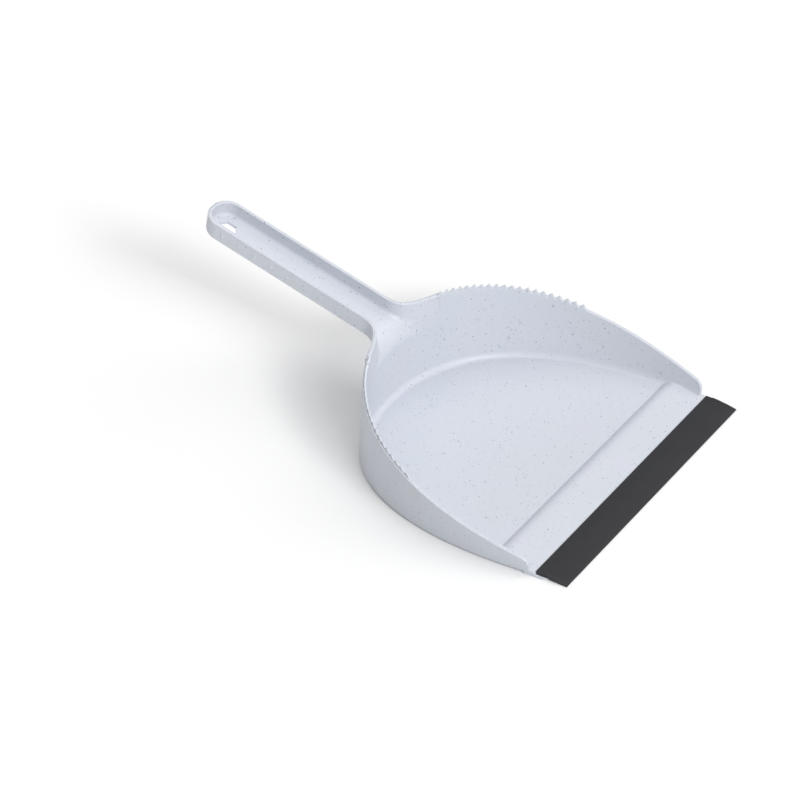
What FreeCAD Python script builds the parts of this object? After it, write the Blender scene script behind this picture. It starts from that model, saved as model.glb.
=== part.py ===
"""Dustpan with an open-channel handle and a flexible lip, in two nodes: pan and lip.

Frame: mouth towards -Y, handle towards +Y, +Z up, flat underside on Z = 0.
X = 0 is the symmetry plane.  The origin sits under the middle of the overall length.
Inside this file a station d is the distance back from the tip of the lip.
"""
import FreeCAD, Part
import math
import os

V = FreeCAD.Vector

# Overall sizes
LIP_WIDTH = 220.0         # mouth width across the lip
TRAY_REAR = 197.5         # station of the rear wall at the ground
HANDLE_REACH = 133.9      # handle end behind the rear wall
LENGTH = TRAY_REAR + HANDLE_REACH
WALL = 2.6                # wall of the tray and of the handle
FLOOR = 2.2               # tray floor

# Lip strip, ramp, step and tongue
LIP_ROOT = 22.2           # station where the lip meets the ramp
LIP_TIP_THICK = 0.9
LIP_DROOP = 7.7           # the strip is flat for this far, then droops
TONGUE_REACH = 9.2        # tongue under the lip
TONGUE_TOP = 1.3
TONGUE_CORNER = 5.0
RAMP_RUN = 23.8           # lip root to crest
RAMP_STEP = 0.5           # front edge of the ramp above the floor level
RAMP_RISE = 3.2           # crest above the floor level
STEP_RUN = 5.5            # crest to the foot of the step
RAMP_SHEET = 2.0
RAMP_RIB = 1.6            # ribs across the relief under the ramp
RAMP_BAYS = 5
WALL_SETBACK = 4.3        # blunt wall fronts stand this far behind the lip root

TONGUE_FRONT = LIP_ROOT - TONGUE_REACH
LIP_BEND = LIP_ROOT - LIP_DROOP
RAMP_FRONT_Z = FLOOR + RAMP_STEP
RAMP_CREST = (LIP_ROOT + RAMP_RUN, FLOOR + RAMP_RISE)
STEP_FOOT = RAMP_CREST[0] + STEP_RUN
WALL_FRONT = LIP_ROOT + WALL_SETBACK

# Handle
HANDLE_HALF = 14.1        # half width outside
HANDLE_SLOPE = 0.287
HANDLE_REF = TRAY_REAR + 2.5
HANDLE_BOTTOM_Z = 55.6    # underside height at the reference station
HANDLE_DEPTH = 12.861     # outside height of the channel section
END_FLAT = 1.3            # half width of the flat part of the end
END_LEAN = 0.17           # end wall leans in as it rises
CHANNEL_FLOOR = 2.5       # thickness under the channel
CHANNEL_FILLET = 3.0
ROLL_R = 14.0             # channel floor rolls over into the rear wall
ROLL_SETBACK = 6.3
ROLL_FOOT_Z = 20.0        # the roll fades into the wall down to here
ROLL_FOOT_RUN = 7.2
FLARE_START = TRAY_REAR + 10.5
FLARE_WIDTH = 29.9        # the flare meets the rim this far outside the handle
FLARE_SETBACK = 11.7
FLARE_BULGE = 3.9         # how far out the flare still follows the handle root

HANDLE_END_R = HANDLE_HALF - END_FLAT
ROLL_STATION = TRAY_REAR - ROLL_SETBACK
FLARE_END = (HANDLE_HALF + FLARE_WIDTH, TRAY_REAR - FLARE_SETBACK)

# Plan of the tray: (half width, station) control points of the outer wall
WALL_TOP_Z = 75.0         # height at which the upper outline is defined
FRONT_TUCK = 1.4          # wall fronts stand in from the ends of the lip
BASE_BULGE = 10.9         # side control point outside the front one
BASE_TUCK = 23.1          # rear control point inside the front one
DRAFT_FRONT = 17.2        # upper outline outside the lower one, front
TOP_BULGE = 15.4
TOP_TUCK = 31.3
BASE_SIDE_BACK = 75.5     # side control points ahead of the rear wall
TOP_SIDE_BACK = 97.7
TOP_REAR_BACK = 6.4       # the rear wall leans in to the handle root

BASE_FRONT_X = LIP_WIDTH / 2 - FRONT_TUCK
TOP_FRONT_X = BASE_FRONT_X + DRAFT_FRONT
BASE_SIDE = (BASE_FRONT_X + BASE_BULGE, TRAY_REAR - BASE_SIDE_BACK)
BASE_REAR = (BASE_FRONT_X - BASE_TUCK, TRAY_REAR)
TOP_SIDE = (TOP_FRONT_X + TOP_BULGE, TRAY_REAR - TOP_SIDE_BACK)
TOP_REAR = (TOP_FRONT_X - TOP_TUCK, TRAY_REAR - TOP_REAR_BACK)
OUTLINE_FRONT = LIP_ROOT - 2.2
CLEAR_HALF = LIP_WIDTH / 2 + 90.0   # wider than anything in the pan
SAMPLES = 17

# Rim line in side view
RIM_FRONT_Z = 11.4        # rim height produced to the front end
RIM_REAR_BACK = 0.5
RIM_SAG = 1.1             # how far the rim line hangs below a straight one
RIM_NOSE_R = 4.4          # round at the front top corner of a side wall
BASE_ROUND = 2.0          # softened lower edge of the wall

RIM_REAR_D = TRAY_REAR - RIM_REAR_BACK
RIM_REAR = (RIM_REAR_D, HANDLE_BOTTOM_Z + HANDLE_DEPTH + HANDLE_SLOPE * (RIM_REAR_D - HANDLE_REF))
RIM_TOP = RIM_REAR[1] + HANDLE_SLOPE * (LENGTH - RIM_REAR_D)

# Inside fillet between floor and wall
FILLET_SIDE = 3.5
FILLET_REAR = 10.0

# Comb teeth along the rim
TOOTH_FRONT = 84.5        # first tooth ahead of the rear wall
TOOTH_PITCH = 5.25
TOOTH_HEIGHT = 2.5
TOOTH_SETBACK = 0.7       # teeth start this far in from the outer face
TOOTH_INSIDE = 0.12       # and stop this far short of the inner face
TOOTH_OVERRUN = 4.0       # the comb may run this far past the outer end of the flare

# Hang hole and grip domes
HOLE_HALF = 5.0
HOLE_BACK = 6.8           # rear point of the hole ahead of the handle end
HOLE_SIDE = 6.8           # straight sides
HOLE_TIP_FRONT = 3.2
HOLE_TIP_REAR = 2.8
DOME_FRONT = 41.2         # first dome behind the rear wall
DOME_CLEAR = 17.0         # no dome closer than this to the handle end
DOME_PITCH = 12.38
DOME_R = 1.15
DOME_PROUD = 0.5


def pt(x, d, z):
    """Point from half width, station and height."""
    return V(x, d - LENGTH / 2.0, z)


def bezier(p0, p1, p2, p3, t):
    """Point on a plane cubic."""
    s = 1.0 - t
    w = (s * s * s, 3 * s * s * t, 3 * s * t * t, t * t * t)
    pts = (p0, p1, p2, p3)
    return (sum(w[i] * pts[i][0] for i in range(4)), sum(w[i] * pts[i][1] for i in range(4)))


def wall_plan(t, z):
    """Outer face of the right half of the wall at height z; t runs from front to rear."""
    base = bezier((BASE_FRONT_X, OUTLINE_FRONT), BASE_SIDE, BASE_REAR, (0.0, BASE_REAR[1]), t)
    top = bezier((TOP_FRONT_X, OUTLINE_FRONT), TOP_SIDE, TOP_REAR, (0.0, TOP_REAR[1]), t)
    k = z / WALL_TOP_Z
    return (base[0] + (top[0] - base[0]) * k, base[1] + (top[1] - base[1]) * k)


def wall_normal(t, z):
    """Unit plan direction from the outer face towards the inside."""
    e = 1e-4
    a = wall_plan(max(0.0, t - e), z)
    b = wall_plan(min(1.0, t + e), z)
    dx = b[0] - a[0]
    dy = b[1] - a[1]
    n = math.hypot(dx, dy)
    return (-dy / n, dx / n)


def inset_plan(t, z, inset):
    p = wall_plan(t, z)
    n = wall_normal(t, z)
    return (p[0] + n[0] * inset, p[1] + n[1] * inset)


def fillet_size(t):
    """Floor fillet grows from the side walls to the rear wall."""
    k = max(0.0, min(1.0, (t - 0.35) / 0.5))
    k = k * k * (3 - 2 * k)
    return FILLET_SIDE + (FILLET_REAR - FILLET_SIDE) * k


def wall_section(z, inset):
    """Closed wire at height z; inset is a function of t."""
    ts = [i / float(SAMPLES - 1) for i in range(SAMPLES)]
    right = [inset_plan(t, z, inset(t)) for t in ts]
    right[-1] = (0.0, right[-1][1])
    pts = [pt(x, d, z) for x, d in right]
    pts += [pt(-x, d, z) for x, d in reversed(right[:-1])]
    curve = Part.BSplineCurve()
    params = [i / float(len(pts) - 1) for i in range(len(pts))]
    curve.interpolate(Points=pts, Parameters=params)
    front = Part.makeLine(pts[-1], pts[0])
    return Part.Wire([curve.toShape(), front])


def wall_loft(levels, ruled=False):
    """Solid through (height, inset function) levels."""
    wires = [wall_section(z, f) for z, f in levels]
    return Part.makeLoft(wires, True, ruled)


def across(points, half):
    """Prism along X, from -half to half, over a side-view polygon of (station, height)."""
    pts = [pt(-half, d, z) for d, z in points]
    pts.append(pts[0])
    return Part.Face(Part.makePolygon(pts)).extrude(V(2 * half, 0, 0))


def across_edges(edges, half):
    """Prism along X over side-view edges already placed at X = -half."""
    return Part.Face(Part.Wire(edges)).extrude(V(2 * half, 0, 0))


def rim_z(d):
    """Rim height at a station: sagging line over the tray, straight along the handle."""
    if d > RIM_REAR[0]:
        return RIM_REAR[1] + HANDLE_SLOPE * (d - RIM_REAR[0])
    u = (d - WALL_FRONT) / (RIM_REAR[0] - WALL_FRONT)
    return RIM_FRONT_Z + (RIM_REAR[1] - RIM_FRONT_Z) * u - 4 * RIM_SAG * u * (1 - u)


def nose():
    """Tangent length, arc start, middle and end of the round at the wall's front corner."""
    slope = math.atan((rim_z(WALL_FRONT + 8) - rim_z(WALL_FRONT)) / 8.0)
    tangent = RIM_NOSE_R * math.tan((math.pi / 2 - slope) / 2)
    z0 = rim_z(WALL_FRONT) - tangent
    start = (WALL_FRONT, z0)
    centre = (WALL_FRONT + RIM_NOSE_R, z0)
    mid_a = math.pi - (math.pi / 2 - slope) / 2
    end_a = math.pi / 2 + slope
    mid = (centre[0] + RIM_NOSE_R * math.cos(mid_a), centre[1] + RIM_NOSE_R * math.sin(mid_a))
    end = (centre[0] + RIM_NOSE_R * math.cos(end_a), centre[1] + RIM_NOSE_R * math.sin(end_a))
    return start, mid, end


def above_rim(lift, half):
    """Everything above the rim line, raised by lift, and everything before the wall fronts."""
    start, mid, end = nose()
    x = -half
    last = LENGTH + 30.0
    foot = pt(x, WALL_FRONT, RAMP_FRONT_Z - 0.4)
    low = pt(x, -20.0, RAMP_FRONT_Z - 0.4)
    high = pt(x, -20.0, RIM_TOP + 90.0)
    far = pt(x, last, RIM_TOP + 90.0)
    arc = Part.Arc(pt(x, start[0], start[1]), pt(x, mid[0], mid[1]), pt(x, end[0], end[1]))
    half_way = 0.5 * (end[0] + RIM_REAR[0])
    joint = pt(x, RIM_REAR[0], RIM_REAR[1])
    curve = Part.Arc(pt(x, end[0], end[1]), pt(x, half_way, rim_z(half_way)), joint)
    rear = pt(x, last, rim_z(last))
    edges = [Part.makeLine(low, foot), Part.makeLine(foot, pt(x, start[0], start[1])),
             arc.toShape(), curve.toShape(), Part.makeLine(joint, rear),
             Part.makeLine(rear, far), Part.makeLine(far, high), Part.makeLine(high, low)]
    tool = across_edges(edges, half)
    tool.translate(V(0, 0, lift))
    return tool


def channel_z(d):
    """Top of the channel floor."""
    return HANDLE_BOTTOM_Z + CHANNEL_FLOOR + HANDLE_SLOPE * (d - HANDLE_REF)


def under_z(d):
    """Underside of the handle."""
    return HANDLE_BOTTOM_Z + HANDLE_SLOPE * (d - HANDLE_REF)


def handle_wire(z, inset, end):
    """Plan outline of the handle with its flared root, drawn inset from the outside."""
    half = HANDLE_HALF - inset
    r = HANDLE_END_R - inset
    flare = (FLARE_END[0] - 0.3 * inset, FLARE_END[1] - inset)
    root = TRAY_REAR - 47.5
    tip = end - inset
    mid = r * math.sqrt(0.5)
    edges = []
    for s in (1, -1):
        arc = Part.Arc(pt(s * half, tip - r, z), pt(s * (half - r + mid), tip - r + mid, z),
                       pt(s * (half - r), tip, z))
        curve = Part.BezierCurve()
        curve.setPoles([pt(s * half, FLARE_START, z), pt(s * half, TRAY_REAR - 0.5 - 0.4 * inset, z),
                        pt(s * (half + FLARE_BULGE), TRAY_REAR - 4.3 - inset, z),
                        pt(s * flare[0], flare[1], z)])
        edges.append([arc.toShape(), Part.makeLine(pt(s * half, tip - r, z), pt(s * half, FLARE_START, z)),
                      curve.toShape(), Part.makeLine(pt(s * flare[0], flare[1], z),
                                                     pt(s * flare[0], root, z))])
    cap = Part.makeLine(pt(half - r, tip, z), pt(r - half, tip, z))
    close = Part.makeLine(pt(flare[0], root, z), pt(-flare[0], root, z))
    right, left = edges
    chain = [cap] + left + [close] + list(reversed(right))
    return Part.Wire(Part.__sortEdges__(chain))


def roll_centre():
    """Centre of the curve where the channel floor rolls over into the rear wall."""
    d = ROLL_STATION + ROLL_R
    return d, channel_z(d) - ROLL_R / math.cos(math.atan(HANDLE_SLOPE))


def roll_edges(x, radius, rise, corners):
    """Side-view edges: roll curve, sloping floor line, then straight lines through corners."""
    theta = math.atan(HANDLE_SLOPE)
    cd, cz = roll_centre()
    cz += rise
    am = math.pi - 0.5 * (math.pi / 2 - theta)
    p0 = pt(x, cd - radius, cz)
    pm = pt(x, cd + radius * math.cos(am), cz + radius * math.sin(am))
    p1 = pt(x, cd - radius * math.sin(theta), cz + radius * math.cos(theta))
    far = LENGTH + 40.0
    p2 = pt(x, far, cz + radius / math.cos(theta) + HANDLE_SLOPE * (far - cd))
    ring = [p1, p2] + [pt(x, d, z) for d, z in corners]
    ring += [pt(x, corners[-1][0], ROLL_FOOT_Z), pt(x, cd - radius - ROLL_FOOT_RUN, ROLL_FOOT_Z), p0]
    lines = [Part.makeLine(a, b) for a, b in zip(ring[:-1], ring[1:])]
    return [Part.Arc(p0, pm, p1).toShape()] + lines


def handle_block():
    """Outside of the handle as a solid bar with a rounded throat under its root."""
    low = HANDLE_BOTTOM_Z - 25.6
    high = RIM_TOP + 5.8
    ref = under_z(LENGTH)
    wires = [handle_wire(z, 0.0, LENGTH - END_LEAN * (z - ref)) for z in (low, high)]
    bar = Part.makeLoft(wires, True, True)
    sheet = CHANNEL_FLOOR * math.cos(math.atan(HANDLE_SLOPE))
    corners = [(LENGTH + 40.0, RIM_TOP + 54.0), (TRAY_REAR - 47.5, RIM_TOP + 54.0)]
    zone = across_edges(roll_edges(-90.0, ROLL_R - sheet, 0.0, corners), 90.0)
    return bar.common(zone)


def channel_tool():
    """What is cut out of the handle bar: open channel, rolling over into the tray."""
    ref = under_z(LENGTH)
    low = HANDLE_BOTTOM_Z - 25.6
    high = RIM_TOP + 5.8
    tool = None
    steps = 4
    for k in range(steps + 1):
        a = 0.5 * math.pi * k / steps
        rise = CHANNEL_FILLET * (1 - math.cos(a))
        inset = WALL + CHANNEL_FILLET * (1 - math.sin(a))
        wires = [handle_wire(z, inset, LENGTH - END_LEAN * (z - ref)) for z in (low, high)]
        bar = Part.makeLoft(wires, True, True)
        corners = [(LENGTH + 40.0, RIM_TOP + 64.0), (TRAY_REAR - 32.5, RIM_TOP + 64.0)]
        part = bar.common(across_edges(roll_edges(-90.0, ROLL_R, rise, corners), 90.0))
        tool = part if tool is None else tool.fuse(part)
    return tool


def hang_hole():
    """Six-sided hole, pointed along the handle."""
    tip = LENGTH - HOLE_BACK
    rear = tip - HOLE_TIP_REAR
    front = rear - HOLE_SIDE
    plan = [(0.0, front - HOLE_TIP_FRONT), (HOLE_HALF, front), (HOLE_HALF, rear), (0.0, tip),
            (-HOLE_HALF, rear), (-HOLE_HALF, front)]
    pts = [pt(x, d, 60.0) for x, d in plan]
    pts.append(pts[0])
    return Part.Face(Part.makePolygon(pts)).extrude(V(0, 0, RIM_TOP))


def grip_domes():
    """Small round studs along both outer sides of the handle."""
    depth = (DOME_R * DOME_R - DOME_PROUD * DOME_PROUD) / (2 * DOME_PROUD)
    radius = depth + DOME_PROUD
    domes = []
    first = TRAY_REAR + DOME_FRONT
    count = int((LENGTH - DOME_CLEAR - first) / DOME_PITCH) + 1
    for i in range(count):
        d = first + i * DOME_PITCH
        z = 0.5 * (under_z(d) + rim_z(d)) - 0.2
        for s in (1, -1):
            ball = Part.makeSphere(radius, pt(s * (HANDLE_HALF - depth), d, z))
            keep = Part.makeBox(1.8, 2 * radius, 2 * radius,
                                pt(s * HANDLE_HALF - 0.9, d - radius, z - radius))
            domes.append(ball.common(keep))
    return domes


def rim_point(t):
    """Outer edge of the rim at parameter t."""
    z = 30.0
    for i in range(40):
        z = rim_z(wall_plan(t, z)[1])
    p = wall_plan(t, z)
    return p[0], p[1], z


def valley_frames():
    """Valley positions spaced one pitch apart along the rim, starting at the first station."""
    count = 4000
    points = [rim_point(0.2 + 0.8 * i / count) for i in range(count + 1)]
    frames = []
    run = 0.0
    goal = 0.0
    started = False
    for i in range(1, count + 1):
        a = points[i - 1]
        b = points[i]
        if not started:
            started = b[1] >= TRAY_REAR - TOOTH_FRONT
            if not started:
                continue
        run += math.hypot(b[0] - a[0], b[1] - a[1])
        if run >= goal and b[0] >= FLARE_END[0] - TOOTH_OVERRUN:
            frames.append((b[0], b[1], b[2], b[0] - a[0], b[1] - a[1], b[2] - a[2]))
            goal += TOOTH_PITCH
    return frames


def comb(side):
    """Raised band with V cuts along one rim; side is +1 or -1."""
    frames = valley_frames()
    band = wall_loft([(1.5, lambda t: TOOTH_SETBACK), (WALL_TOP_Z + 8.0, lambda t: TOOTH_SETBACK)])
    inner = WALL - TOOTH_INSIDE
    hollow = wall_loft([(1.0, lambda t: inner), (WALL_TOP_Z + 9.0, lambda t: inner)])
    band = band.cut(hollow)
    first = frames[0]
    last = frames[-1]
    wide = first[0] - last[0] + 30.0
    left = last[0] - 6.0 if side > 0 else 6.0 - last[0] - wide
    zone = Part.makeBox(wide, last[1] - first[1] + 12.0, RIM_TOP, pt(left, first[1] - 6.0, 0.0))
    band = band.common(zone)
    band = band.cut(above_rim(TOOTH_HEIGHT, CLEAR_HALF))
    below = above_rim(-0.6, CLEAR_HALF)
    band = band.common(below)
    half = 0.5 * TOOTH_PITCH
    for i, f in enumerate(frames):
        x, d, z, tx, td, tz = f
        n = math.hypot(tx, td)
        tx, td, tz = tx / n, td / n, tz / n
        out = (td, -tx)
        back = half if i > 0 else 12.0
        fwd = half if i < len(frames) - 1 else 12.0

        def place(s, up, o):
            return pt(side * (x + tx * s + out[0] * o), d + td * s + out[1] * o, z + tz * s + up)
        top = TOOTH_HEIGHT + 3.0
        peak = TOOTH_HEIGHT
        corners = [(0.0, 0.0), (fwd, peak if fwd == half else 0.0), (fwd, top), (-back, top),
                   (-back, peak if back == half else 0.0)]
        if back != half:
            corners[-1] = (-back, -0.7)
        if fwd != half:
            corners[1] = (fwd, -0.7)
        ring = [place(s, up, -8.0) for s, up in corners]
        ring.append(ring[0])
        wedge = Part.Face(Part.makePolygon(ring)).extrude(V(side * out[0] * 14, out[1] * 14, 0))
        band = band.cut(wedge)
    return band


def ramp_profile():
    """Side view of ramp and step, top surface, as (station, height)."""
    crest_d, crest_z = RAMP_CREST
    pts = [(LIP_ROOT, RAMP_FRONT_Z)]
    pts.append((crest_d - 2.0, crest_z - 0.12))
    n = 8
    for i in range(n + 1):
        u = i / float(n)
        k = u * u * (3 - 2 * u)
        pts.append((crest_d + (STEP_FOOT - crest_d) * u, crest_z + (FLOOR - crest_z) * k))
    return pts


def ramp():
    top = ramp_profile()
    outline = [(LIP_ROOT, 0.0)] + top + [(STEP_FOOT + 6.0, FLOOR), (STEP_FOOT + 6.0, 0.0)]
    prism = across(outline, LIP_WIDTH / 2 + 30.0)
    plate = wall_loft([(0.0, lambda t: BASE_ROUND), (WALL_TOP_Z, lambda t: BASE_ROUND)], True)
    body = prism.common(plate)
    block = Part.makeBox(LIP_WIDTH, WALL_FRONT - LIP_ROOT + 4.0, 20.0, pt(-LIP_WIDTH / 2, LIP_ROOT, 0.0))
    nose_part = across(outline, LIP_WIDTH / 2).common(block)
    return body.fuse(nose_part)


def ramp_hollow():
    """Relief under the ramp so that the sheet keeps an even thickness."""
    crest_d, crest_z = RAMP_CREST
    pts = [(LIP_ROOT + 6.0, 0.0), (LIP_ROOT + 6.0, 1.0), (crest_d - 1.5, crest_z - RAMP_SHEET),
           (STEP_FOOT - 2.6, 0.6), (STEP_FOOT - 2.6, 0.0)]
    half = LIP_WIDTH / 2 - 6.0
    relief = across(pts, half)
    bay = 2 * half / RAMP_BAYS
    for i in range(1, RAMP_BAYS):
        x = -half + i * bay
        relief = relief.cut(Part.makeBox(RAMP_RIB, 60.0, 20.0, pt(x - RAMP_RIB / 2, LIP_ROOT, -5.0)))
    return relief


def tongue():
    """Thin plate that carries the lip, with rounded front corners."""
    plate = Part.makeBox(LIP_WIDTH, LIP_ROOT + 2.0 - TONGUE_FRONT, TONGUE_TOP,
                         pt(-LIP_WIDTH / 2, TONGUE_FRONT, 0.0))
    corners = []
    for e in plate.Edges:
        a = e.Vertexes[0].Point
        b = e.Vertexes[-1].Point
        if abs(a.x - b.x) < 1e-6 and abs(a.y - b.y) < 1e-6 and a.y < pt(0, TONGUE_FRONT + 1, 0).y:
            corners.append(e)
    return plate.makeFillet(TONGUE_CORNER, corners)


def lip_shape():
    """Flexible strip: flat on the tongue, then drooping and thinning to the tip."""
    rear = LIP_ROOT
    poly = [(rear, TONGUE_TOP), (rear, RAMP_FRONT_Z - 0.05), (LIP_BEND, RAMP_FRONT_Z - 0.15),
            (0.5 * LIP_BEND, 0.5 * (RAMP_FRONT_Z - 0.15 + LIP_TIP_THICK) + 0.12),
            (0.0, LIP_TIP_THICK - 0.25), (0.0, 0.0), (1.0, 0.0),
            (TONGUE_FRONT - 0.6, TONGUE_TOP - 0.15), (TONGUE_FRONT, TONGUE_TOP)]
    return across(poly, LIP_WIDTH / 2)


def pan_shape():
    zero = lambda t: 0.0
    foot = wall_loft([(0.0, lambda t: BASE_ROUND), (0.3 * BASE_ROUND, lambda t: 0.3 * BASE_ROUND),
                      (BASE_ROUND, zero)], True)
    outer = foot.fuse(wall_loft([(BASE_ROUND, zero), (WALL_TOP_Z + 8.0, zero)], True))
    outer = outer.fuse(handle_block())
    levels = []
    steps = 6
    tallest = FILLET_REAR
    for k in range(steps + 1):
        a = 0.5 * math.pi * k / steps
        z = FLOOR + tallest * (1 - math.cos(a))
        levels.append((z, lambda t, s=1 - math.sin(a): WALL + fillet_size(t) * s))
    upper = [(levels[-1][0], lambda t: WALL), (WALL_TOP_Z + 12.0, lambda t: WALL)]
    hollow = wall_loft(levels).fuse(wall_loft(upper, True))
    front = across([(-10.0, FLOOR), (OUTLINE_FRONT + 6.0, FLOOR), (OUTLINE_FRONT + 6.0, 90.0),
                    (-10.0, 90.0)], BASE_FRONT_X - WALL - 2.0)
    side = LIP_WIDTH / 2 + 40.0
    ahead = Part.makeBox(2 * side, LIP_ROOT + 20.0, RIM_TOP, pt(-side, -20.0, -10.0))
    body = outer.cut(hollow).cut(front).cut(ahead)
    body = body.cut(channel_tool())
    body = body.cut(above_rim(0.0, CLEAR_HALF))
    body = body.fuse(ramp())
    body = body.fuse(tongue())
    body = body.cut(ramp_hollow())
    body = body.fuse([comb(1), comb(-1)])
    body = body.cut(hang_hole())
    body = body.fuse(grip_domes())
    return body.removeSplitter()


def save(shape, node):
    if len(shape.Solids) == 1:
        shape = shape.Solids[0]
    print(node, "solids", len(shape.Solids), "valid", shape.isValid(),
          "volume", round(shape.Volume / 1000.0, 1))
    shape.exportStep(os.path.join("parts", node + ".step"))


os.makedirs("parts", exist_ok=True)
save(pan_shape(), "pan")
save(lip_shape(), "rubber_lip")
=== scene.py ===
"""Looks of a moulded dustpan with a rubber lip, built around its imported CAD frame."""
import math
import bpy
import bmesh
import numpy as np
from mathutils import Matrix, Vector


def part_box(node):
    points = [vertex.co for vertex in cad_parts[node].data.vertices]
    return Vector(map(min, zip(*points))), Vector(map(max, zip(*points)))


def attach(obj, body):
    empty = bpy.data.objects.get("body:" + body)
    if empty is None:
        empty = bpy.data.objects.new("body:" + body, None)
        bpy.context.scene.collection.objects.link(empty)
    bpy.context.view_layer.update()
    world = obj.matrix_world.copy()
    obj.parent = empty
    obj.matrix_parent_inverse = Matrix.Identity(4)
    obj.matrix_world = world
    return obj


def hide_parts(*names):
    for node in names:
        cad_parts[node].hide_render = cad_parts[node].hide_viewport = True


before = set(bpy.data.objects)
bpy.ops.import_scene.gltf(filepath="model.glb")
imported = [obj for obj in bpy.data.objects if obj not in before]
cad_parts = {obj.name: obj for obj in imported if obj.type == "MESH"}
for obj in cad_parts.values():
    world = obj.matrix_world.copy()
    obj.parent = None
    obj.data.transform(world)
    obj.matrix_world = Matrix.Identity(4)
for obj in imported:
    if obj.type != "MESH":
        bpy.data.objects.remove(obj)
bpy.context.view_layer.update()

# Camera: azimuth and elevation of the photograph's view, and a long lens
AZIMUTH = -58.1
ELEVATION = 35.2
DISTANCE = 2.69
LENS = 187.7
AIM = Vector((0.0054, 0.0249, 0.0))

# Light: sky strength near the horizon and above it, the heights between which it turns,
# and wide lamps as name, azimuth, elevation, angle, strength
SKY_LOW = 0.32
SKY_HIGH = 0.427
SKY_TURN = (0.25, 0.45)
LAMPS = (
    ("key", -24.0, 31.5, 14.0, 1.335),
    ("key_left", -37.0, 36.0, 12.0, 0.509),
    ("key_right", -11.0, 36.0, 12.0, 0.262),
    ("top", 0.0, 89.9, 40.0, 0.413),
    ("back", 150.0, 65.0, 50.0, 0.479),
    ("right", 60.0, 45.0, 50.0, 0.539),
)

# Sizes in millimetres; a station d is the distance back from the lip tip
LENGTH = 331.4
LIP_HALF = 110.0
WALL = 2.6
FLOOR = 2.2
TOP_Z = 75.0
BASE_POLES = ((108.6, 20.0), (119.5, 122.0), (85.5, 197.5), (0.0, 197.5))
TOP_POLES = ((125.8, 20.0), (141.2, 99.8), (94.5, 191.1), (0.0, 191.1))
BASE_ROUND = 2.0
FILLET = (2.2, 4.5)
FILLET_GROWS = (0.35, 0.5)
WALL_FRONT = 26.5
RIM_FRONT_Z = 11.4
RIM_REAR = (197.0, 67.6)
RIM_SAG = 1.1
RIM_ROUND = 0.35
RIM_BLEND = 1.0
RIM_SLANT = 0.95
LEDGE = (1.0, 0.3)
LEDGE_R = 0.25
NOSE_R = 4.4
RAMP_END_R = 0.8
EDGE_R = 0.3
LIP_ROOT = 22.2
APRON_REAR = 30.5
RAMP = ((22.2, 2.7), (44.2, 5.3), (46.0, 5.4), (53.6, 2.2))
STEP_POWER = 2.2
CREST_BLEND = 0.3
RELIEF = ((28.2, 1.0), (44.5, 3.4), (48.9, 0.6))
RELIEF_HALF = 104.0
RIBS = (20.8, 62.4)
RIB_HALF = 0.8
TONGUE = (13.0, 1.3, 5.0)
TONGUE_LAP = 2.0
HANDLE_HALF = 14.1
HANDLE_END_R = 12.8
SLOPE = 0.287
UNDER = (200.0, 55.6)
CHANNEL_FLOOR = 2.5
CHANNEL_FILLET = 3.0
END_LEAN = 0.17
ROLL_R = 14.0
HANDLE_EDGE_R = 1.2
ROOT_BLEND = 1.2
CHEEK_BLEND = 1.0
LEAST_R = 0.01
FLARE_POLES = ((14.1, 208.0), (14.1, 197.0), (18.0, 193.2), (44.0, 185.8))
TOOTH_FIRST = 113.0
TOOTH_PITCH = 5.25
TOOTH_COUNT = 20
TOOTH_FOOT = 0.35
TOOTH_HEIGHT = 2.8
TOOTH_BEVEL = 0.45
TOOTH_BAND = (1.05, 2.56)
TOOTH_R = 0.15
TOOTH_SLANT = 0.66
TOOTH_SINK = 1.5
SAW_OUTSIDE = -0.6
HOLE = (5.0, 311.8, 315.0, 321.8, 324.6)
HOLE_FROM_Z = 60.0
HOLE_EDGE_R = 0.35
DOMES = (238.7, 12.38, 7, 1.15, 0.5)
DOME_DROP = 0.2
DOME_ROOT = 1.0
DOME_BLEND = 0.25

# Lip section from its upper rear edge over the top to the tip and back underneath, as (d, z)
LIP_PROFILE = (
    (22.2, 1.3), (22.2, 2.8), (22.9, 2.9), (22.9, 3.3), (22.5, 3.42), (21.1, 3.3), (19.6, 3.25),
    (17.5, 3.5), (14.5, 3.3), (7.2, 2.2), (1.4, 0.95), (0.8, 0.75), (0.8, 0.0), (1.8, 0.0),
    (12.4, 1.15), (13.0, 1.3),
)
LIP_SLICES = 56

# In metres: the strip stops short of the left end, is laid a little askew and has a small bevel
END_GAP = 0.0013
SKEW = 0.0003
LIP_BEVEL = 0.0002

# Skin: cell of the sampling grid, cells in a block, corners of the grid, share of faces kept
CELL = 0.5
BLOCK = 8
GRID_LOW = (0.0, -1.0, -1.0)
GRID_HIGH = (119.0, 333.0, 108.0)
FACES_KEPT = 0.165

# Plan grid of first guesses: spacing, reach in x and d, and the heights that have a table
PLAN_STEP = 2.0
PLAN_X = (0, 160)
PLAN_D = (-20, 360)
LEVEL_STEP = 20.0
LEVELS = 6

# Colours; fleck layers are scale, radius, share kept, seed, colour
PLASTIC_TONES = ((0.556, 0.599, 0.644), (0.584, 0.594, 0.661))
FLECK_LAYERS = (
    (330.0, 0.17, 0.36, 3.1, (0.35, 0.37, 0.42)),
    (250.0, 0.14, 0.20, 7.7, (0.22, 0.23, 0.265)),
    (420.0, 0.21, 0.55, 5.9, (0.44, 0.47, 0.525)),
    (290.0, 0.17, 0.25, 1.3, (0.31, 0.33, 0.38)),
)
RUBBER_TONES = ((0.007, 0.0072, 0.010), (0.013, 0.0135, 0.018))
FLOOR_TONE = 0.862

# Half width of the scene's floor, in metres
FLOOR_HALF = 6.0

SLANT = math.cos(math.atan(SLOPE))


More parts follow.
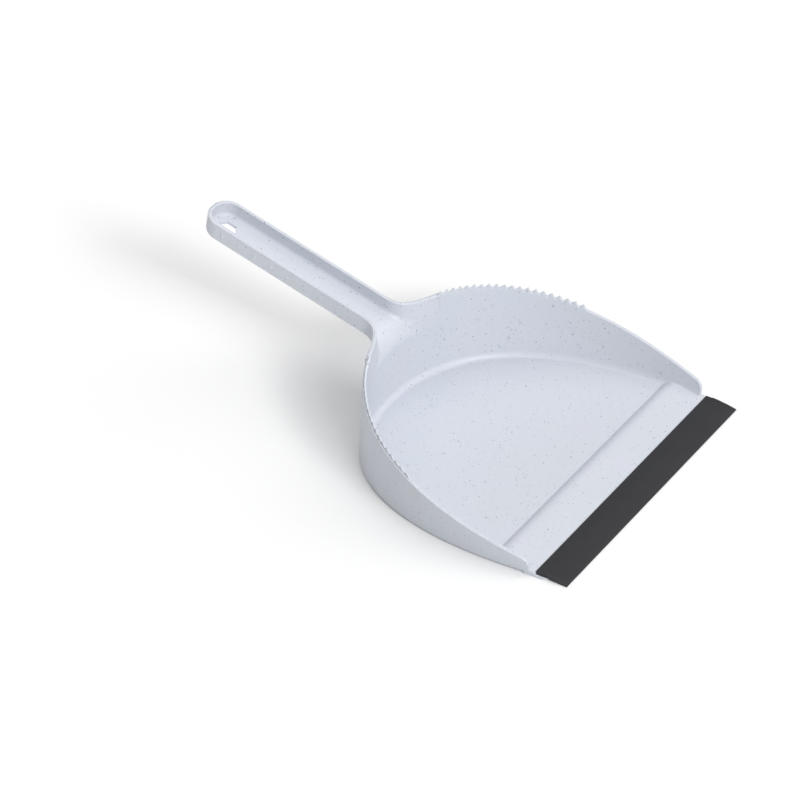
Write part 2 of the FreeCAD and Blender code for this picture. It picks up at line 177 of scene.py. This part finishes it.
def round_max(a, b, r):
    """Intersection whose edge is rounded to radius r."""
    return np.minimum(np.maximum(a, b), -r) + np.hypot(np.maximum(a + r, 0), np.maximum(b + r, 0))


def round_min(a, b, r):
    """Union whose inner corner is filled to radius r."""
    return -round_max(-a, -b, r)


def soft_min(a, b, k):
    """Union blended over a width k."""
    h = np.maximum(k - np.abs(a - b), 0) / k
    return np.minimum(a, b) - h * h * k * 0.25


def cubic(poles, t, order=0):
    """Point, first or second derivative of a plane cubic with poles as arrays."""
    p0, p1, p2, p3 = poles
    s = 1 - t
    if order == 0:
        return s * s * s * p0 + 3 * s * s * t * p1 + 3 * s * t * t * p2 + t * t * t * p3
    if order == 1:
        return 3 * (s * s * (p1 - p0) + 2 * s * t * (p2 - p1) + t * t * (p3 - p2))
    return 6 * (s * (p2 - 2 * p1 + p0) + t * (p3 - 2 * p2 + p1))


def curve_distance(px, pd, x, d, t, low, high, rounds=4):
    """Signed distance to a cubic, negative on its inner side, and the nearest parameter."""
    for _ in range(rounds):
        ex, ed = cubic(px, t) - x, cubic(pd, t) - d
        ax, ad = cubic(px, t, 1), cubic(pd, t, 1)
        bx, bd = cubic(px, t, 2), cubic(pd, t, 2)
        slope = ax * ax + ad * ad + ex * bx + ed * bd
        size = ax * ax + ad * ad
        t = np.clip(t - (ex * ax + ed * ad) / np.maximum(slope, 0.3 * size), low, high)
    ex, ed = x - cubic(px, t), d - cubic(pd, t)
    ax, ad = cubic(px, t, 1), cubic(pd, t, 1)
    return (ex * ad - ed * ax) / np.hypot(ax, ad), t


def tray_poles(z):
    """Poles of the outer wall's outline at a height."""
    k = z / TOP_Z
    px = [b[0] + (a[0] - b[0]) * k for b, a in zip(BASE_POLES, TOP_POLES)]
    pd = [b[1] + (a[1] - b[1]) * k for b, a in zip(BASE_POLES, TOP_POLES)]
    return px, pd


def start_table(poles, low, high):
    """First guess of the nearest parameter on the plan grid."""
    gx, gd = np.meshgrid(np.arange(*PLAN_X, PLAN_STEP), np.arange(*PLAN_D, PLAN_STEP), indexing="ij")
    best = np.full(gx.shape, 1e9)
    table = np.zeros(gx.shape)
    for t in np.linspace(low, high, 90):
        away = (cubic(poles[0], t) - gx) ** 2 + (cubic(poles[1], t) - gd) ** 2
        near = away < best
        best[near] = away[near]
        table[near] = t
    return table


TRAY_RANGE = (-0.16, 1.0)
TRAY_TABLES = [start_table(tray_poles(LEVEL_STEP * n), *TRAY_RANGE) for n in range(LEVELS)]
FLARE_X = [p[0] for p in FLARE_POLES]
FLARE_D = [p[1] for p in FLARE_POLES]
FLARE_RANGE = (-0.2, 1.15)
FLARE_TABLE = start_table((FLARE_X, FLARE_D), *FLARE_RANGE)


def table_place(x, d):
    """Row and column of a place in the tables of first guesses."""
    rows, columns = FLARE_TABLE.shape
    i = np.clip(np.rint(x / PLAN_STEP), 0, rows - 1).astype(int)
    j = np.clip(np.rint((d - PLAN_D[0]) / PLAN_STEP), 0, columns - 1).astype(int)
    return i, j


def tray_field(x, d, z):
    """Signed plan distance to the outer wall at this height, and the place along it."""
    i, j = table_place(x, d)
    level = np.clip(np.rint(z / LEVEL_STEP), 0, LEVELS - 1).astype(int)
    t = np.stack(TRAY_TABLES)[level, i, j]
    px, pd = tray_poles(z)
    return curve_distance(px, pd, x, d, t, *TRAY_RANGE)


def under_z(d):
    """Height of the handle's underside."""
    return UNDER[1] + SLOPE * (d - UNDER[0])


def handle_field(x, d, z):
    """Signed plan distance to the handle outline with its flared root."""
    end = LENGTH - END_LEAN * (z - under_z(LENGTH))
    qx = x - (HANDLE_HALF - HANDLE_END_R)
    qd = d - (end - HANDLE_END_R)
    bar = np.hypot(np.maximum(qx, 0), np.maximum(qd, 0)) + np.minimum(np.maximum(qx, qd), 0) - HANDLE_END_R
    near = d < FLARE_POLES[0][1]
    if near.any():
        i, j = table_place(x[near], d[near])
        flare, _ = curve_distance(FLARE_X, FLARE_D, x[near], d[near], FLARE_TABLE[i, j], *FLARE_RANGE)
        bar = bar.copy()
        bar[near] = np.maximum(-flare, x[near] - FLARE_POLES[3][0])
    return bar


def rim_z(d):
    """Height of the rim, which runs into the top of the handle."""
    u = (d - WALL_FRONT) / (RIM_REAR[0] - WALL_FRONT)
    tray = RIM_FRONT_Z + (RIM_REAR[1] - RIM_FRONT_Z) * u - 4 * RIM_SAG * u * (1 - u)
    return soft_min(tray, RIM_REAR[1] + SLOPE * (d - RIM_REAR[0]), RIM_BLEND)


def ramp_z(d):
    """Height of the tray floor, with the ramp and the step at the front."""
    (d0, z0), (d1, z1), (d2, z2), (d3, z3) = RAMP
    u = np.clip((d - d2) / (d3 - d2), 0, 1)
    step = z2 - (z2 - z3) * u ** STEP_POWER
    rise = z0 + (z1 - z0) * (d - d0) / (d1 - d0)
    return np.where(d < d2, soft_min(rise, z2, CREST_BLEND), step)


def rim_line():
    """Parameter and arc length in plan along the rim of the right wall."""
    t = np.linspace(0.0, 1.0, 2001)
    z = np.full(t.shape, 30.0)
    for _ in range(60):
        px, pd = tray_poles(z)
        x, d = cubic(px, t), cubic(pd, t)
        z = rim_z(d)
    run = np.concatenate([[0], np.cumsum(np.hypot(np.diff(x), np.diff(d)))])
    return t, run - np.interp(TOOTH_FIRST, d, run)


RIM_T, RIM_RUN = rim_line()


def inner_face(wall, bar, low, t, z):
    """Distance to the inner faces, with the fillet that grows towards the rear, and the floor."""
    k = np.clip((t - FILLET_GROWS[0]) / FILLET_GROWS[1], 0, 1)
    fillet = FILLET[0] + (FILLET[1] - FILLET[0]) * k * k * (3 - 2 * k)
    floor_up = low - CHANNEL_FLOOR * SLANT
    roll = round_max(-(wall + WALL), floor_up, ROLL_R)
    cheek = -soft_min(wall + WALL, bar + WALL, CHEEK_BLEND)
    inner = round_min(cheek, roll, np.clip(roll + wall + WALL, LEAST_R, CHANNEL_FILLET))
    u, v = inner / fillet, (z - FLOOR) / FILLET[1]
    cu, cv = np.maximum(1 - u, 0), np.maximum(1 - v, 0)
    share = np.where(cu + cv > 0, cu * cu / (cu * cu + cv * cv + 1e-12), u < v)
    return (np.maximum(np.minimum(u, v), 1) - np.hypot(cu, cv)) * (fillet * share + FILLET[1] * (1 - share))


def outer_face(wall, bar, low, z):
    """Distance to the outer faces of the tray and handle, with the throat under the root."""
    throat = round_max(-wall, low, ROLL_R - CHANNEL_FLOOR * SLANT)
    handle = round_max(bar, -throat, HANDLE_EDGE_R)
    return round_max(soft_min(wall, handle, ROOT_BLEND), -z, BASE_ROUND)


def cut_rim(body, outer, up, d, z):
    """Cuts the body along the rim, its outer ledge and the rounded front ends of the walls."""
    over = (z - rim_z(d)) * np.where(d > RIM_REAR[0], SLANT, RIM_SLANT)
    rim = np.minimum(over + LEDGE[1], round_max(over, outer + LEDGE[0], LEDGE_R))
    front = round_max(WALL_FRONT - d, rim, NOSE_R)
    body = round_max(body, round_min(front, up, RAMP_END_R), RIM_ROUND)
    return round_max(body, LIP_ROOT - d, EDGE_R)


def add_mouth(body, up, x, d, z):
    """Adds the apron beside the walls and the tongue that carries the lip."""
    apron = np.maximum(np.maximum(x - LIP_HALF, up), np.maximum(LIP_ROOT - d, d - APRON_REAR))
    body = np.minimum(body, round_max(apron, -z, EDGE_R))
    reach, thick, corner = TONGUE
    tongue = round_max(x - LIP_HALF, reach - d, corner)
    tongue = round_max(round_max(tongue, z - thick, EDGE_R), -z, EDGE_R)
    return np.minimum(body, np.maximum(tongue, d - LIP_ROOT - TONGUE_LAP))


def cut_relief(body, x, d, z):
    """Hollows the ramp from below and leaves the ribs."""
    roof = np.interp(d, [p[0] for p in RELIEF], [p[1] for p in RELIEF])
    rib = np.minimum(np.abs(x - RIBS[0]), np.abs(x - RIBS[1])) - RIB_HALF
    ends = np.maximum(RELIEF[0][0] - d, d - RELIEF[2][0])
    relief = np.maximum(np.maximum(z - roof, x - RELIEF_HALF), ends)
    return np.maximum(body, -np.maximum(relief, -rib))


def cut_hole(body, x, d, z):
    """Cuts the pointed hang hole through the channel floor."""
    half, p0, s0, s1, p1 = HOLE
    near_tip = (x * (s0 - p0) - (d - p0) * half) / math.hypot(half, s0 - p0)
    far_tip = (x * (p1 - s1) - (p1 - d) * half) / math.hypot(half, p1 - s1)
    hole = np.maximum(np.maximum(x - half, near_tip), far_tip)
    return round_max(body, -np.maximum(hole, HOLE_FROM_Z - z), HOLE_EDGE_R)


def field(x, d, z):
    """Signed distance to the moulding, negative inside the plastic."""
    x = np.abs(x)
    wall, t = tray_field(x, d, z)
    bar = handle_field(x, d, z)
    low = (z - under_z(d)) * SLANT
    up = z - ramp_z(d)
    outer = outer_face(wall, bar, low, z)
    body = np.maximum(outer, np.minimum(inner_face(wall, bar, low, t, z), up))
    body = cut_rim(body, outer, up, d, z)
    body = add_mouth(body, up, x, d, z)
    body = cut_relief(body, x, d, z)
    body = np.minimum(body, teeth(wall, t, d, z))
    body = cut_hole(body, x, d, z)
    return domes(body, x, d, z)


def teeth(wall, t, d, z):
    """Comb along the rim: a saw-tooth line on a band set in from both faces."""
    run = np.interp(t, RIM_T, RIM_RUN)
    phase = run / TOOTH_PITCH
    saw = 1 - np.abs(2 * (phase - np.floor(phase)) - 1)
    saw = np.where((phase < 0) | (phase > TOOTH_COUNT), SAW_OUTSIDE, saw)
    band = np.abs(-wall - 0.5 * sum(TOOTH_BAND)) - 0.5 * (TOOTH_BAND[1] - TOOTH_BAND[0])
    bevel = TOOTH_BEVEL * (wall + TOOTH_BAND[0])
    top = (z - rim_z(d) - TOOTH_FOOT - TOOTH_HEIGHT * saw - bevel) * TOOTH_SLANT
    comb = round_max(band, top, TOOTH_R)
    ends = np.maximum(-run, run - TOOTH_PITCH * TOOTH_COUNT)
    return np.maximum(np.maximum(comb, rim_z(d) - TOOTH_SINK - z), ends)


def domes(body, x, d, z):
    """Adds the row of grip domes on the handle's side."""
    first, pitch, count, r, proud = DOMES
    n = np.clip(np.rint((d - first) / pitch), 0, count - 1)
    dc = first + n * pitch
    deep = (r * r - proud * proud) / (2 * proud)
    zc = 0.5 * (under_z(dc) + RIM_REAR[1] + SLOPE * (dc - RIM_REAR[0])) - DOME_DROP
    ball = np.sqrt((x - HANDLE_HALF + deep) ** 2 + (d - dc) ** 2 + (z - zc) ** 2) - (deep + proud)
    return soft_min(body, np.maximum(ball, HANDLE_HALF - DOME_ROOT - x), DOME_BLEND)


def sample(points):
    """Field at many points, a slice at a time."""
    out = np.empty(len(points))
    for a in range(0, len(points), 200000):
        p = points[a:a + 200000]
        out[a:a + 200000] = field(p[:, 0], p[:, 1], p[:, 2])
    return out


def gradient(points, step=0.02):
    """Slope of the field by central differences."""
    g = np.empty(points.shape)
    for axis in range(3):
        move = np.zeros(3)
        move[axis] = step
        g[:, axis] = (sample(points + move) - sample(points - move)) / (2 * step)
    return g


def near_nodes(low, shape):
    """Grid nodes of the blocks that the surface may cross."""
    side = BLOCK * CELL
    counts = [-(-n // BLOCK) for n in shape]
    index = np.stack(np.meshgrid(*[np.arange(c) for c in counts], indexing="ij"), -1).reshape(-1, 3)
    value = sample(low + (index + 0.5) * side)
    index = index[np.abs(value) < 1.5 * side]
    inside = np.stack(np.meshgrid(*[np.arange(BLOCK)] * 3, indexing="ij"), -1).reshape(-1, 3)
    nodes = (index[:, None, :] * BLOCK + inside[None]).reshape(-1, 3)
    return nodes[(nodes < np.array(shape)).all(1)]


def surface_nets(low, high):
    """Quads of the half with x >= 0, one vertex per crossed cell, and the vertices' cells."""
    shape = tuple(int(math.ceil((h - l) / CELL)) + 1 for l, h in zip(low, high))
    low = np.array(low)
    nodes = near_nodes(low, shape)
    grid = np.full(shape, np.nan, np.float32)
    grid[tuple(nodes.T)] = sample(low + nodes * CELL)
    strides = np.array([shape[1] * shape[2], shape[2], 1])
    owners, places, quads = [], [], []
    for axis in range(3):
        take = [slice(None)] * 3
        drop = [slice(None)] * 3
        take[axis], drop[axis] = slice(1, None), slice(None, -1)
        a, b = grid[tuple(drop)], grid[tuple(take)]
        cut = np.argwhere(((a < 0) != (b < 0)) & np.isfinite(a) & np.isfinite(b))
        fa, fb = a[tuple(cut.T)], b[tuple(cut.T)]
        where = low + cut * CELL
        where[:, axis] += CELL * fa / (fa - fb)
        others = [i for i in range(3) if i != axis]
        ring = []
        for o1, o2 in ((0, 0), (-1, 0), (-1, -1), (0, -1)):
            cell = cut.copy()
            cell[:, others[0]] += o1
            cell[:, others[1]] += o2
            ring.append(cell @ strides)
            owners.append(ring[-1])
            places.append(where)
        ring = np.stack(ring, 1)
        flip = (fa >= 0) ^ (axis == 1)
        ring[flip] = ring[flip][:, ::-1]
        quads.append(ring)
    owners, places, quads = np.concatenate(owners), np.concatenate(places), np.concatenate(quads)
    cells, index = np.unique(owners, return_inverse=True)
    count = np.bincount(index)
    verts = np.stack([np.bincount(index, places[:, i]) / count for i in range(3)], 1)
    return verts, np.searchsorted(cells, quads)


def settle(points, rounds=3):
    """Moves points onto the surface and returns them with their normals."""
    for _ in range(rounds):
        g = gradient(points)
        size = np.maximum((g * g).sum(1), 0.05)
        move = g * (sample(points) / size)[:, None]
        far = np.linalg.norm(move, axis=1) / (0.5 * CELL)
        points = points - move / np.maximum(far, 1)[:, None]
    g = gradient(points)
    return points, g / np.linalg.norm(g, axis=1)[:, None]


def add_object(name, data):
    obj = bpy.data.objects.new(name, data)
    bpy.context.scene.collection.objects.link(obj)
    return obj


def bake_modifiers(obj):
    """Replaces the object's mesh with the one its modifiers make."""
    graph = bpy.context.evaluated_depsgraph_get()
    done = bpy.data.meshes.new_from_object(obj.evaluated_get(graph))
    obj.modifiers.clear()
    obj.data = done
    return done


def direction(azimuth, elevation):
    """Unit vector towards a place in the sky."""
    a, e = math.radians(azimuth), math.radians(elevation)
    return Vector((math.sin(a) * math.cos(e), -math.cos(a) * math.cos(e), math.sin(e)))


def aim(obj, target):
    obj.rotation_euler = (Vector(target) - obj.location).to_track_quat("-Z", "Y").to_euler()


def make_camera():
    data = bpy.data.cameras.new("camera")
    data.lens = LENS
    data.sensor_width = 36.0
    data.clip_end = 20.0
    cam = add_object("camera", data)
    cam.location = AIM + direction(AZIMUTH, ELEVATION) * DISTANCE
    aim(cam, AIM)
    bpy.context.scene.camera = cam


def make_lamp(name, azimuth, elevation, angle, strength):
    data = bpy.data.lights.new(name, "SUN")
    data.angle = math.radians(angle)
    data.energy = strength
    lamp = add_object(name, data)
    lamp.location = direction(azimuth, elevation) * 3.0
    aim(lamp, (0, 0, 0))


def make_world():
    """Neutral sky, a little dimmer near the horizon."""
    world = bpy.data.worlds.new("studio")
    world.use_nodes = True
    tree = world.node_tree
    coords = tree.nodes.new("ShaderNodeTexCoord")
    split = tree.nodes.new("ShaderNodeSeparateXYZ")
    tree.links.new(coords.outputs["Generated"], split.inputs[0])
    level = tree.nodes.new("ShaderNodeMapRange")
    sockets = ("From Min", "From Max", "To Min", "To Max")
    for socket, value in zip(sockets, (*SKY_TURN, SKY_LOW, SKY_HIGH)):
        level.inputs[socket].default_value = value
    tree.links.new(split.outputs["Z"], level.inputs["Value"])
    back = tree.nodes["Background"]
    back.inputs["Color"].default_value = (1, 1, 1, 1)
    tree.links.new(level.outputs[0], back.inputs["Strength"])
    bpy.context.scene.world = world


def new_material(name):
    mat = bpy.data.materials.new(name)
    mat.use_nodes = True
    return mat, mat.node_tree, mat.node_tree.nodes["Principled BSDF"]


def node(tree, kind, **values):
    n = tree.nodes.new(kind)
    for k, v in values.items():
        setattr(n, k, v)
    return n


def noise(tree, coords, scale, detail=2.0):
    n = node(tree, "ShaderNodeTexNoise")
    n.inputs["Scale"].default_value = scale
    n.inputs["Detail"].default_value = detail
    tree.links.new(coords, n.inputs["Vector"])
    return n


def add_bump(tree, shader, height, strength, distance):
    n = node(tree, "ShaderNodeBump")
    n.inputs["Strength"].default_value = strength
    n.inputs["Distance"].default_value = distance
    tree.links.new(height, n.inputs["Height"])
    tree.links.new(n.outputs[0], shader.inputs["Normal"])


def math_node(tree, op, a, b):
    n = node(tree, "ShaderNodeMath", operation=op)
    for i, v in enumerate((a, b)):
        if isinstance(v, (int, float)):
            n.inputs[i].default_value = v
        else:
            tree.links.new(v, n.inputs[i])
    return n.outputs[0]


def flecks(tree, coords, scale, radius, share, seed):
    """Mask of small irregular flecks: one candidate per cell, of which only a share is kept."""
    warp = noise(tree, coords, scale * 2.3, 1.0)
    mixed = node(tree, "ShaderNodeVectorMath", operation="MULTIPLY_ADD")
    tree.links.new(warp.outputs["Color"], mixed.inputs[0])
    mixed.inputs[1].default_value = (0.35 / scale,) * 3
    tree.links.new(coords, mixed.inputs[2])
    shift = node(tree, "ShaderNodeVectorMath", operation="ADD")
    tree.links.new(mixed.outputs[0], shift.inputs[0])
    shift.inputs[1].default_value = (seed, seed * 1.7, seed * 0.6)
    cells = node(tree, "ShaderNodeTexVoronoi", feature="F1")
    cells.inputs["Scale"].default_value = scale
    tree.links.new(shift.outputs[0], cells.inputs["Vector"])
    edge = node(tree, "ShaderNodeMapRange")
    edge.inputs["From Min"].default_value = radius
    edge.inputs["From Max"].default_value = radius * 0.55
    tree.links.new(cells.outputs["Distance"], edge.inputs["Value"])
    chance = node(tree, "ShaderNodeSeparateColor")
    tree.links.new(cells.outputs["Color"], chance.inputs[0])
    keep = math_node(tree, "LESS_THAN", chance.outputs[0], share)
    return math_node(tree, "MULTIPLY", edge.outputs[0], keep)


def mix_colour(tree, mask, under, over):
    n = node(tree, "ShaderNodeMix", data_type="RGBA")
    for value, slot in ((mask, n.inputs[0]), (under, n.inputs[6]), (over, n.inputs[7])):
        if isinstance(value, tuple):
            slot.default_value = (*value, 1)
        else:
            tree.links.new(value, slot)
    return n.outputs[2]


def plastic():
    mat, tree, shader = new_material("speckled_plastic")
    coords = node(tree, "ShaderNodeTexCoord").outputs["Object"]
    tone = noise(tree, coords, 28.0, 3.0)
    colour = mix_colour(tree, tone.outputs["Fac"], *PLASTIC_TONES)
    for scale, radius, share, seed, shade in FLECK_LAYERS:
        colour = mix_colour(tree, flecks(tree, coords, scale, radius, share, seed), colour, shade)
    tree.links.new(colour, shader.inputs["Base Color"])
    rough = node(tree, "ShaderNodeMapRange")
    rough.inputs["To Min"].default_value = 0.40
    rough.inputs["To Max"].default_value = 0.48
    tree.links.new(tone.outputs["Fac"], rough.inputs["Value"])
    tree.links.new(rough.outputs[0], shader.inputs["Roughness"])
    add_bump(tree, shader, noise(tree, coords, 900.0).outputs["Fac"], 0.04, 0.0003)
    shader.inputs["IOR"].default_value = 1.49
    return mat


def rubber():
    mat, tree, shader = new_material("lip_rubber")
    coords = node(tree, "ShaderNodeTexCoord").outputs["Object"]
    tone = noise(tree, coords, 60.0, 4.0)
    colour = mix_colour(tree, tone.outputs["Fac"], *RUBBER_TONES)
    tree.links.new(colour, shader.inputs["Base Color"])
    shader.inputs["Roughness"].default_value = 0.5
    add_bump(tree, shader, noise(tree, coords, 1400.0).outputs["Fac"], 0.15, 0.0002)
    return mat


def floor():
    mesh = bpy.data.meshes.new("floor")
    s = FLOOR_HALF
    mesh.from_pydata([(-s, -s, 0), (s, -s, 0), (s, s, 0), (-s, s, 0)], [], [(0, 1, 2, 3)])
    obj = add_object("floor", mesh)
    mat, _, shader = new_material("floor_white")
    shader.inputs["Base Color"].default_value = (FLOOR_TONE, FLOOR_TONE, FLOOR_TONE, 1)
    shader.inputs["Roughness"].default_value = 0.9
    shader.inputs["Specular IOR Level"].default_value = 0.0
    mesh.materials.append(mat)


def moulding():
    """The pan as one smooth moulded skin, in metres in the frame of the solids."""
    half, quads = surface_nets(GRID_LOW, GRID_HIGH)
    half, _ = settle(half, 2)
    seam = half[:, 0] < 1e-6
    half[seam, 0] = 0.0
    other = np.where(seam, np.arange(len(half)), len(half) + np.cumsum(~seam) - 1)
    verts = np.concatenate([half, half[~seam] * (-1, 1, 1)])
    faces = np.concatenate([quads, other[quads][:, ::-1]])
    mesh = bpy.data.meshes.new("raw")
    mesh.vertices.add(len(verts))
    mesh.vertices.foreach_set("co", verts.ravel())
    mesh.loops.add(faces.size)
    mesh.loops.foreach_set("vertex_index", faces.ravel())
    mesh.polygons.add(len(faces))
    mesh.polygons.foreach_set("loop_start", np.arange(0, faces.size, 4))
    mesh.update()
    mesh.validate()
    obj = add_object("pan_moulding", mesh)
    thin = obj.modifiers.new("thin", "DECIMATE")
    thin.ratio = FACES_KEPT
    done = bake_modifiers(obj)
    places = np.empty(len(done.vertices) * 3)
    done.vertices.foreach_get("co", places)
    places, normals = settle(places.reshape(-1, 3), 1)
    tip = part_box("rubber_lip")[0][1]
    places = places / 1000.0 + (0, tip, 0)
    done.vertices.foreach_set("co", places.ravel())
    done.polygons.foreach_set("use_smooth", np.ones(len(done.polygons), bool))
    done.update()
    done.normals_split_custom_set_from_vertices(normals)
    return obj


def lip_strip():
    """Flexible strip: over the tongue with a thin flap on the ramp's edge, thinning to the tip."""
    low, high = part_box("rubber_lip")
    mesh = bpy.data.meshes.new("lip_strip")
    bm = bmesh.new()
    rings = []
    for i in range(LIP_SLICES + 1):
        x = low[0] + END_GAP + (high[0] - low[0] - END_GAP) * i / LIP_SLICES
        lead = low[1] + SKEW * x / high[0]
        rings.append([bm.verts.new((x, lead + d / 1000.0, z / 1000.0)) for d, z in LIP_PROFILE])
    n = len(LIP_PROFILE)
    for a, b in zip(rings[:-1], rings[1:]):
        for j in range(n):
            bm.faces.new((a[j], a[(j + 1) % n], b[(j + 1) % n], b[j]))
    bm.faces.new(list(reversed(rings[0])))
    bm.faces.new(rings[-1])
    bmesh.ops.recalc_face_normals(bm, faces=bm.faces)
    bm.to_mesh(mesh)
    bm.free()
    obj = add_object("lip_strip", mesh)
    bevel = obj.modifiers.new("edge", "BEVEL")
    bevel.width = LIP_BEVEL
    bevel.segments = 2
    bevel.limit_method = "ANGLE"
    bevel.angle_limit = math.radians(30)
    done = bake_modifiers(obj)
    done.polygons.foreach_set("use_smooth", np.ones(len(done.polygons), bool))
    done.set_sharp_from_angle(angle=math.radians(35))
    return obj


def place(obj, node_name, mat):
    """Gives a piece its material and the CAD node whose place it takes."""
    obj.data.materials.clear()
    obj.data.materials.append(mat)
    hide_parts(node_name)
    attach(obj, "root")


make_camera()
make_world()
for lamp in LAMPS:
    make_lamp(*lamp)
floor()
place(moulding(), "pan", plastic())
place(lip_strip(), "rubber_lip", rubber())
bpy.context.scene.view_settings.view_transform = "Standard"
